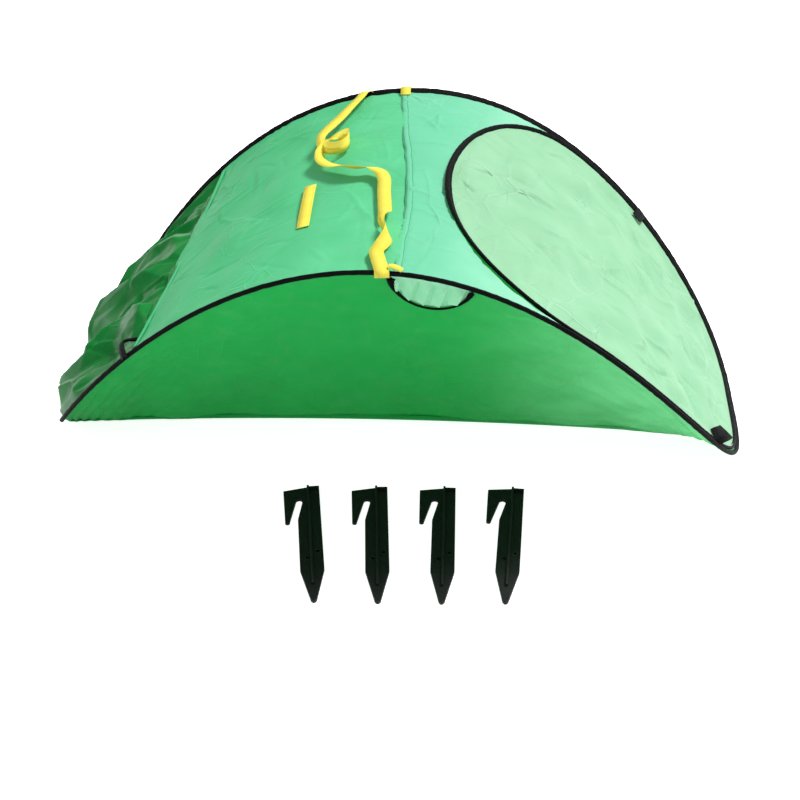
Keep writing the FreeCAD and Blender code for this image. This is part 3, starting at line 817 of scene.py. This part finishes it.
def wallSheet(side, depth, skew, seed):
    ends = halfLength * np.array([-0.985, 0.985])
    x = xOf(np.linspace(alongOf(ends[0]), alongOf(ends[1]), int(1.35 / wall["mesh"])))
    top, low = wallLines(x, side, depth, skew)
    fits = (side * (top[:, 1] - low[:, 1]) > 0) & (np.linalg.norm(low - top, axis=1) > 0.012)
    x, top, low = x[fits], top[fits], low[fits]
    tall = np.linalg.norm(low - top, axis=1)[:, None]
    rows = 96
    share = (np.linspace(0, 1, rows)[None, :] * (tall - 0.003) + 0.003) / tall
    points = top[:, None] + (low - top)[:, None] * share[..., None]
    down = share * tall
    up = tall - down
    u = alongOf(x)[:, None] + 0 * down
    fade = smoothStep(down / 0.03) * smoothStep(up / 0.015)
    relief = fade * waves(u, down, seed, 0.19, wall["waveHeight"], 4)
    pressed = creases(u, down, seed + 1, wall["creases"], 0.16, 0.004, wall["creaseHeight"], lean=0.2)
    relief = relief + fade * pressed
    tension = np.exp(-(u.max() - u) / 0.16) + np.exp(-(u - u.min()) / 0.16)
    relief = relief + fade * tension * 0.0022 * np.sin((down - 0.3 * np.abs(u)) * 2 * math.pi / 0.034)
    reach = u.max() - u
    turn = np.arctan2(up, reach + 0.03)
    fan = np.sin(turn * wall["fanFolds"] + 1.6 * np.sin(turn * 15))
    fan = fan * smoothStep(reach / 0.06) * np.exp(-reach / 0.34)
    relief = relief + fade * wall["fanHeight"] * fan
    relief = relief + puckers(down, u, seed, 0.023, 0.0008, 0.018)
    normals = sheetNormals(points)
    outward = np.where(normals[..., 1:2] * side < 0, -1.0, 1.0)
    normals = normals * outward
    return x, points + normals * relief[..., None], normals, surfaceArea(points), u, down


vent = {"middle": 0.060, "halfWidth": 0.052, "drop": 0.0585, "pleats": 2.6, "pleatHeight": 0.008,
        "bulge": 0.003, "lean": 0.30}

x, points, normals, area, u, down = wallSheet(-1, wall["frontHem"], wall["frontSkew"], 51)
insideVent = (((points[..., 0] - vent["middle"]) / (vent["halfWidth"] - 0.004)) ** 2
              + ((points[..., 2] - roofHeight(vent["middle"])) / (vent["drop"] - 0.004)) ** 2) < 1
frontWall = clothGrid("frontWallCloth", points, ~insideVent)
finishPiece(frontWall, "tent", "frontWall", "wall_fabric", "front_wall")
frontHemPath = points[:, -2] + normals[:, -2] * 0.0004
frontUp = unit(points[:, -12] - points[:, -1])
frontHemNormals = normals[:, -2]

x, points, normals, area, u, down = wallSheet(1, wall["backHem"], wall["backSkew"], 61)
backWall = clothGrid("backWallCloth", points)
finishPiece(backWall, "tent", "backWall", "wall_fabric", "back_wall")
backHemPath = points[:, -2] + normals[:, -2] * 0.0004
backUp = unit(points[:, -12] - points[:, -1])
backHemNormals = normals[:, -2]
for label, path, upward, hemNormals in (("front", frontHemPath, frontUp, frontHemNormals),
                                        ("back", backHemPath, backUp, backHemNormals)):
    middle = path[3:-3] + upward[3:-3] * (wall["hemWidth"] / 2)
    fold = strip(label + "WallHem", middle, hemNormals[3:-3], wall["hemWidth"], 0.0016)
    finishPiece(fold, "tent", "frontWall" if label == "front" else "backWall", "wall_fabric")
    line = path[3:-3] + upward[3:-3] * (wall["hemWidth"] - 0.002) + hemNormals[3:-3] * 0.001
    stitchRow(label + "HemStitches", line, hemNormals[3:-3], "tent",
              {"pitch": 0.0042, "radius": 0.0003, "material": "thread", "slot": "wall_fabric"})
print("walls ready")


# Gathered vent

def wallPlace(x, share, lift):
    top, low = wallLines(x, -1, wall["frontHem"], wall["frontSkew"])
    line = low - top
    place = top + line * share[..., None]
    normal = unit(np.stack([0 * x, -np.abs(line[..., 2]), -np.abs(line[..., 1])], -1))
    return place + normal * lift[..., None]


def ventShare(x):
    top, low = wallLines(x, -1, wall["frontHem"], wall["frontSkew"])
    arch = np.sqrt(np.clip(1 - ((x - vent["middle"]) / vent["halfWidth"]) ** 2, 0, 1))
    edge = roofHeight(vent["middle"]) - vent["drop"] * arch
    return np.clip((top[..., 2] - edge) / (top[..., 2] - low[..., 2]), 0.012, 1)


a = np.linspace(-0.985, 0.985, 110)[:, None]
b = np.linspace(0, 1, 60)[None, :]
ventX = vent["middle"] + vent["halfWidth"] * a + 0 * b
depth = ventShare(ventX)
share = 0.008 + (depth - 0.008) * b
fold = (a + vent["lean"] * (share * 6 - 0.4)) * vent["pleats"]
saw = (fold - np.floor(fold))
pleat = np.where(saw < 0.72, saw / 0.72, (1 - saw) / 0.28)
edgeFade = smoothStep(b / 0.25) * smoothStep((1 - b) / 0.2) * smoothStep((1 - np.abs(a)) / 0.12)
ventLift = 0.001 + edgeFade * (vent["bulge"] + vent["pleatHeight"] * (pleat - 0.4))
ventLift = ventLift + edgeFade * creases(ventX, share * 0.4, 71, 14, 0.04, 0.0015, 0.0012, lean=1.1)
ventPoints = wallPlace(ventX, share, ventLift)
ventCloth = clothGrid("ventCloth", ventPoints)
finishPiece(ventCloth, "tent", "vent", "roof_fabric", "vent_panel")

turn = np.linspace(0.02, math.pi - 0.02, 120)
edgeX = vent["middle"] - vent["halfWidth"] * np.cos(turn)
edgeShare = ventShare(edgeX)
edgePath = resample(wallPlace(edgeX, edgeShare, 0.0016 + 0 * edgeX), 130)
run = np.linspace(0, 1, 130)
edgeWidth = 0.0042 + 0.0068 * smoothStep(1 - run / 0.27) + 0.0042 * smoothStep((run - 0.8) / 0.2)
edgeNormals = unit(np.tile(np.array([0.0, -0.72, -0.69]), (130, 1)))
edgePath = edgePath + edgeNormals * 0.0022
ventEdge = strip("ventBinding", edgePath, edgeNormals, edgeWidth, 0.0032)
finishPiece(ventEdge, "tent", "binding", "black_binding", "vent_binding")
print("vent ready")


# Loose cloth over the left end

slack = {
    "tip": -0.5195,
    "mesh": 0.0030,
    # fold corners: x, share across from the front rim (-1) to the back rim (1), height above the roof's line
    "corners": (
        (-0.378, -0.76, -0.003), (-0.408, -0.87, -0.003), (-0.362, -0.56, 0.012), (-0.462, 0.03, 0.038),
        (-0.483, -0.04, 0.038), (-0.496, -0.20, 0.024), (-0.503, -0.31, 0.008), (-0.440, -0.42, -0.006),
        (-0.405, -0.40, 0.016), (-0.488, 0.18, 0.010), (-0.455, 0.22, 0.004), (-0.482, 0.38, 0.031),
        (-0.440, 0.40, 0.020), (-0.478, 0.78, 0.000), (-0.368, -0.26, 0.003), (-0.392, -0.08, 0.020),
        (-0.428, 0.12, 0.008), (-0.415, -0.66, -0.005), (-0.448, -0.58, 0.020), (-0.468, -0.72, 0.006),
        (-0.498, -0.62, 0.036), (-0.480, -0.50, 0.028), (-0.487, -0.42, 0.003), (-0.462, -0.82, 0.014),
        (-0.484, -0.80, 0.026), (-0.507, -0.90, 0.004), (-0.418, 0.46, 0.012), (-0.362, 0.03, 0.010),
        (-0.424, 0.62, -0.005), (-0.382, 0.42, -0.006), (-0.410, 0.80, -0.003), (-0.375, 0.70, 0.000),
        (-0.362, 0.84, -0.004), (-0.452, 0.78, -0.005), (-0.372, 0.24, 0.010), (-0.500, 0.60, 0.004),
        (-0.505, 0.10, 0.020), (-0.395, -0.22, 0.002),
    ),
    "crumple": 0.0042,
    "tuck": 0.013,
}


def crumpleHeights(x, share):
    border = []
    for place in np.linspace(-1, 1, 9):
        border.append((hemX(place * 0.28) - 0.002, place, -0.006))
        border.append((slack["tip"] - 0.004, place, 0.0))
    for place in np.linspace(0.15, 0.85, 6):
        for side in (-1, 1):
            border.append((hem["middle"] + (slack["tip"] - hem["middle"]) * place, side * 1.02, 0.0))
    corners = np.array(list(slack["corners"]) + border)
    return facets(corners, x, share)


def facets(corners, x, share):
    flat = [Vector((c[0] * 3.0, c[1])) for c in corners]
    result = geometry.delaunay_2d_cdt(flat, [], [], 0, 1e-6)
    where = np.array([tuple(v) for v in result[0]])
    heights = np.array([corners[origin[0]][2] for origin in result[3]])
    query = np.stack([x.ravel() * 3.0, share.ravel()], 1)
    total = np.zeros(len(query))
    for triangle in result[2]:
        p, q, r = where[list(triangle)]
        scale = (q[0] - p[0]) * (r[1] - p[1]) - (r[0] - p[0]) * (q[1] - p[1])
        if abs(scale) < 1e-12:
            continue
        second = ((query[:, 0] - p[0]) * (r[1] - p[1]) - (r[0] - p[0]) * (query[:, 1] - p[1])) / scale
        third = ((q[0] - p[0]) * (query[:, 1] - p[1]) - (query[:, 0] - p[0]) * (q[1] - p[1])) / scale
        first = 1 - second - third
        inside = (first > -1e-6) & (second > -1e-6) & (third > -1e-6)
        level = first * heights[triangle[0]] + second * heights[triangle[1]] + third * heights[triangle[2]]
        total[inside] = level[inside]
    return total.reshape(x.shape)


def smallFacets(x, share, seed, count, height):
    chance = np.random.default_rng(seed)
    spots = [(chance.uniform(slack["tip"], hem["middle"]), chance.uniform(-1, 1),
              chance.uniform(-height, height))
             for k in range(count)]
    for place in np.linspace(-1, 1, 12):
        spots.append((hem["middle"] + 0.02, place * 1.05, 0.0))
        spots.append((slack["tip"] - 0.01, place * 1.05, 0.0))
    return facets(np.array(spots), x, share)


def blur(heights, times):
    for k in range(times):
        inner = heights.copy()
        inner[1:-1, 1:-1] = (heights[1:-1, 1:-1] * 2 + heights[:-2, 1:-1] + heights[2:, 1:-1]
                             + heights[1:-1, :-2] + heights[1:-1, 2:]) / 6
        heights = inner
    return heights


slackRows = 130
slackColumns = 190
acrossShare = np.linspace(-1, 1, slackColumns)[None, :]
startAlong = alongOf(hemX(acrossShare * 0.28) + 0.010)
endAlong = alongOf(slack["tip"])
run = np.linspace(0, 1, slackRows)[:, None]
slackX = xOf(startAlong * (1 - run) + endAlong * run)
slackShare = acrossShare + 0 * run
slackY = slackShare * (halfDepth(slackX) - sleeveRadius + 0.002)
coarse = crumpleHeights(slackX, slackShare)
fine = blur(smallFacets(slackX, slackShare, 81, 140, slack["crumple"]), 1)
fine = fine + smallFacets(slackX, slackShare, 83, 60, slack["tuck"])
pinned = smoothStep((1 - np.abs(slackShare)) / 0.07) * smoothStep(run / 0.09) * smoothStep((1 - run) / 0.05)
slackLift = coarse * pinned + fine * pinned - 0.004 * smoothStep(1 - run / 0.12)
slackPoints = roofPoint(slackX, slackY, slackLift)
slackArea = surfaceArea(roofPoint(slackX, slackY))
slackCloth = clothGrid("slackCloth", slackPoints)
finishPiece(slackCloth, "tent", "slack", "wall_fabric", "left_end_panel")

hemPath = hemEdge[4:-4] + roofNormal(hemEdge[4:-4, 0]) * 0.0006 + np.array([0.005, 0, 0.004])
hemPath[:, 2] = roofHeight(hemPath[:, 0])
hemSag = -roof["sag"] * (1 - (hemPath[:, 1] / sideReach) ** 2)
hemPath = roofPoint(hemPath[:, 0], hemPath[:, 1], hemSag + 0.0004)
hemStrip = strip("roofHem", hemPath, roofNormal(hemPath[:, 0]), 0.009, 0.0011)
finishPiece(hemStrip, "tent", "roofLeft", "roof_fabric")

archRoute = (
    (-0.352, -0.294, 0.002), (-0.3595, -0.27, 0.008), (-0.3645, -0.25, 0.01), (-0.362, -0.241, 0.007),
    (-0.3565, -0.2375, 0.0), (-0.349, -0.236, -0.007), (-0.34, -0.228, -0.01), (-0.326, -0.19, -0.011),
    (-0.314, -0.12, -0.011), (-0.309, 0.0, -0.011), (-0.315, 0.11, -0.011), (-0.328, 0.2, -0.011),
    (-0.338, 0.262, -0.009),
)
route = resample(smoothPath(archRoute), 220)
archPath = roofPoint(route[:, 0], route[:, 1], route[:, 2])
archEdge = strip("slackClothBinding", archPath, roofNormal(route[:, 0]), 0.0095, 0.0045)
finishPiece(archEdge, "tent", "binding", "black_binding", "left_end_binding")
print("left end ready")


# Webbing

def webbing(name, route, width, thickness, stations):
    fine = resample(smoothPath(route, 40)[:, :3], stations)
    dense = smoothPath(route, 40)
    spots = np.concatenate([[0], np.cumsum(np.linalg.norm(np.diff(dense[:, :3], axis=0), axis=1))])
    goals = np.linspace(0, spots[-1], stations)
    roll = np.radians(np.interp(goals, spots, dense[:, 3]))
    wide = np.interp(goals, spots, dense[:, 4])
    path = roofPoint(fine[:, 0], fine[:, 1], fine[:, 2])
    heading = unit(np.gradient(path, axis=0))
    up = roofNormal(fine[:, 0])
    side = unit(np.cross(up, heading))
    up = unit(np.cross(heading, side))
    turnedSide = side * np.cos(roll)[:, None] + up * np.sin(roll)[:, None]
    turnedUp = up * np.cos(roll)[:, None] - side * np.sin(roll)[:, None]
    profile = stripProfile(1.0, 1.0)[None] * np.ones((stations, 1, 1))
    flat = np.stack([profile[..., 0] * (width * wide)[:, None], profile[..., 1] * thickness], -1)
    made = sweep(name, path, turnedSide, turnedUp, flat, False)
    return made, path, turnedSide, turnedUp


longStrap = {
    "width": 0.019, "thickness": 0.0011,
    "route": (
        (-0.084, 0.302, -0.006, 0, 1), (-0.091, 0.296, 0.0045, 4, 1), (-0.0965, 0.284, 0.0078, 8, 1),
        (-0.1007, 0.264, 0.0085, 6, 1), (-0.111, 0.232, 0.009, 2, 1), (-0.120, 0.188, 0.012, -4, 1),
        (-0.129, 0.146, 0.0165, -6, 1), (-0.1355, 0.116, 0.0185, 4, 1), (-0.1345, 0.092, 0.016, 34, 1),
        (-0.125, 0.075, 0.0135, 66, 1), (-0.112, 0.069, 0.0125, 82, 1), (-0.100, 0.071, 0.0125, 90, 1),
        (-0.094, 0.086, 0.0125, 96, 1), (-0.097, 0.108, 0.012, 108, 1), (-0.107, 0.124, 0.0085, 138, 1),
        (-0.120, 0.128, 0.0055, 172, 1), (-0.130, 0.116, 0.006, 196, 1), (-0.133, 0.098, 0.009, 232, 1),
        (-0.132, 0.080, 0.011, 262, 1), (-0.1335, 0.062, 0.010, 300, 1), (-0.129, 0.042, 0.0075, 336, 1),
        (-0.116, 0.023, 0.007, 346, 1), (-0.101, 0.0085, 0.009, 340, 1), (-0.089, -0.0015, 0.011, 326, 1),
        (-0.077, -0.009, 0.012, 320, 1), (-0.064, -0.013, 0.012, 326, 1), (-0.050, -0.0135, 0.010, 340, 1),
        (-0.036, -0.024, 0.0085, 352, 1), (-0.0275, -0.046, 0.0075, 360, 1), (-0.0235, -0.084, 0.006, 362, 1),
        (-0.0185, -0.122, 0.006, 360, 1), (-0.0155, -0.148, 0.008, 372, 1), (-0.0165, -0.167, 0.011, 410, 1),
        (-0.012, -0.190, 0.0115, 446, 1), (-0.006, -0.204, 0.011, 468, 1), (-0.005, -0.219, 0.0095, 498, 1),
        (-0.010, -0.237, 0.008, 528, 1), (-0.0145, -0.252, 0.007, 540, 1), (-0.0105, -0.271, 0.0068, 540, 1),
        (-0.006, -0.288, 0.0075, 540, 1), (-0.003, -0.2985, 0.0050, 540, 1),
        (-0.0025, -0.3015, -0.003, 540, 1),
    ),
}
strap, path, sides, ups = webbing("carryStrap", longStrap["route"], longStrap["width"],
                                  longStrap["thickness"], 520)
finishPiece(strap, "tent", "yellow", "yellow_webbing", "carry_strap")

shortStrap = {
    "width": 0.0185, "thickness": 0.0012,
    "route": ((-0.1378, -0.020, 0.0024, 0, 1), (-0.1350, -0.056, 0.0030, 0, 1),
              (-0.1310, -0.108, 0.0028, 0, 1),
              (-0.1277, -0.151, 0.0022, 0, 1)),
}
keeper, path, sides, ups = webbing("keeperStrap", shortStrap["route"], shortStrap["width"],
                                   shortStrap["thickness"], 90)
keeper.location = (0, 0, -0.0018)
finishPiece(keeper, "tent", "yellow", "yellow_webbing", "keeper_strap")
for number, offset in enumerate((-0.0072, 0.0072)):
    row = path[3:-3] + sides[3:-3] * offset + ups[3:-3] * 0.0006 + np.array([0, 0, -0.0018])
    stitchRow(f"keeperStitches{number + 1}", row, ups[3:-3], "tent",
              {"pitch": 0.0034, "radius": 0.0003, "material": "paleThread", "slot": "yellow_webbing"})

loop, path, sides, ups = webbing(
    "seamLoop", ((-0.0285, 0.274, 0.0016, 0, 1), (-0.0288, 0.284, 0.0056, 0, 1),
                 (-0.0290, 0.294, 0.0068, 0, 1),
                 (-0.0292, 0.301, 0.0020, 0, 1), (-0.0292, 0.303, -0.006, 0, 1)), 0.0165, 0.0012, 60)
finishPiece(loop, "tent", "yellow", "yellow_webbing", "seam_loop")
strapEnd, path, sides, ups = webbing(
    "strapEndLoop", ((0.004, -0.289, 0.0078, 0, 1), (0.010, -0.2905, 0.0085, 4, 1),
                     (0.017, -0.292, 0.0072, 4, 1),
                     (0.022, -0.2935, 0.0055, 0, 1)), 0.010, 0.0012, 50)
finishPiece(strapEnd, "tent", "yellow", "yellow_webbing")
print("webbing ready")

for name, node, routeRows, width in (
        ("doorTabBack", "door_tab_back", ((0.3735, 0.268, 0.0030, 0, 1), (0.370, 0.258, 0.0064, 0, 1),
                                          (0.365, 0.240, 0.0062, 0, 1), (0.359, 0.220, 0.0045, 0, 1)), 0.020),
        ("doorTabFront", "door_tab_front", ((0.461, -0.206, 0.0020, 0, 1), (0.465, -0.197, 0.0075, -6, 1),
                                            (0.471, -0.184, 0.0105, -14, 1),
                                            (0.477, -0.169, 0.0110, -20, 1)), 0.026)):
    tab, path, sides, ups = webbing(name, routeRows, width, 0.0014, 40)
    finishPiece(tab, "right_door", "blackTape", "black_webbing", node)
print("tabs ready")


# Hidden hoop parts and pegs keep their modelled shape

nodeFinish = {"main_hoop_wire": "springSteel", "right_door_wire": "springSteel",
              "main_hoop_ferrule": "ferruleSteel", "right_door_ferrule": "ferruleSteel"}
for number in range(4):
    nodeFinish[f"ground_peg_{number + 1}"] = "plastic"
for node, finish in nodeFinish.items():
    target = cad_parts[node]
    for place in range(max(1, len(target.data.materials))):
        if target.data.materials:
            target.data.materials[place] = paint[finish]
        else:
            target.data.materials.append(paint[finish])

pin = {"radius": 0.0033, "spots": ((0.009, -0.137), (-0.006, -0.149)), "pitch": 0.1, "middle": 0.032,
       "top": -0.25, "lean": 0.092, "turn": 5.2, "turnStep": 4.1}
for number in range(4):
    step = number - 1.5
    turn = math.radians(pin["turn"] - step * pin["turnStep"])
    headX = pin["middle"] + step * pin["pitch"]
    headY = pin["top"] + step * pin["pitch"] * pin["lean"]
    for index, (across, along) in enumerate(pin["spots"]):
        centreX = headX + across * math.cos(turn) - along * math.sin(turn)
        centreY = headY + across * math.sin(turn) + along * math.cos(turn)
        angles = np.arange(20) * 2 * math.pi / 20
        rings = []
        for size, level in ((1.0, 0.0048), (1.0, 0.00515), (0.82, 0.00525), (0.7, 0.0050)):
            rings.append(np.stack([centreX + pin["radius"] * size * np.cos(angles),
                                   centreY + pin["radius"] * size * np.sin(angles),
                                   0 * angles + level], 1))
        faces = gridFaces(4, 20, False, True) + [tuple(range(60, 80))]
        mark = makeObject(f"peg{number + 1}PinMark{index + 1}", np.array(rings), faces, np.zeros((80, 2)))
        finishPiece(mark, f"peg_{number + 1}", "pinMark", "peg_plastic")
print("pegs ready")


# Stage, light and camera

stage = {"paper": 0.9, "glow": 0.2, "seenGlow": 0.9, "sky": 0.50, "key": 3.7, "fill": 9.0}
material, tree = newMaterial("paper")
white = colour(stage["paper"], stage["paper"], stage["paper"])
matte = tree.add("ShaderNodeBsdfDiffuse", {"Color": white}).outputs[0]
watched = tree.add("ShaderNodeLightPath").outputs["Is Camera Ray"]
shineThrough = tree.add("ShaderNodeMapRange", {0: watched, 3: stage["glow"], 4: stage["seenGlow"]}).outputs[0]
glow = tree.add("ShaderNodeEmission", {"Color": white, "Strength": shineThrough}).outputs[0]
surface = tree.add("ShaderNodeAddShader", {0: matte, 1: glow}).outputs[0]
tree.tree.links.new(surface, tree.add("ShaderNodeOutputMaterial").inputs[0])
bpy.ops.mesh.primitive_plane_add(size=40, location=(0, 0, -0.0002))
floor = bpy.context.object
floor.name = "floor"
floor.data.materials.append(material)

world = bpy.data.worlds.new("studio")
bpy.context.scene.world = world
world.use_nodes = True
sky = Tree(world.node_tree)
seen = sky.add("ShaderNodeLightPath").outputs["Is Camera Ray"]
strength = sky.add("ShaderNodeMapRange", {0: seen, 3: stage["sky"], 4: 1.0}).outputs[0]
shine = sky.add("ShaderNodeBackground", {"Color": colour(1, 1, 1), "Strength": strength}).outputs[0]
sky.tree.links.new(shine, sky.add("ShaderNodeOutputWorld").inputs[0])

sun = bpy.data.objects.new("keyLight", bpy.data.lights.new("keyLight", "SUN"))
sun.data.energy = stage["key"]
sun.data.angle = math.radians(14)
sun.rotation_euler = Vector((-0.55, -0.50, -1.0)).to_track_quat("-Z", "Y").to_euler()
bpy.context.scene.collection.objects.link(sun)


def areaLight(name, place, target, size, energy):
    data = bpy.data.lights.new(name, "AREA")
    data.size = size
    data.energy = energy
    lamp = bpy.data.objects.new(name, data)
    bpy.context.scene.collection.objects.link(lamp)
    lamp.location = place
    lamp.rotation_euler = (Vector(target) - Vector(place)).to_track_quat("-Z", "Y").to_euler()
    return lamp


areaLight("fillLight", (-1.6, -2.2, 1.8), (0, 0, 0.1), 1.6, stage["fill"])

view = {"azimuth": 5.3, "elevation": 36.1, "distance": 1.982, "roll": 0.47, "lens": 54.4,
        "shift": (-0.0064, -0.0137)}
azimuth = math.radians(view["azimuth"])
elevation = math.radians(view["elevation"])
camera = bpy.data.objects.new("camera", bpy.data.cameras.new("camera"))
bpy.context.scene.collection.objects.link(camera)
camera.location = (view["distance"] * math.sin(azimuth) * math.cos(elevation),
                   -view["distance"] * math.cos(azimuth) * math.cos(elevation),
                   view["distance"] * math.sin(elevation))
camera.rotation_euler = (-camera.location).to_track_quat("-Z", "Y").to_euler()
camera.rotation_euler.rotate_axis("Z", math.radians(view["roll"]))
camera.data.lens = view["lens"]
camera.data.sensor_width = 36
camera.data.shift_x = view["shift"][0]
camera.data.shift_y = view["shift"][1]
bpy.context.scene.camera = camera
bpy.context.scene.view_settings.view_transform = "Standard"
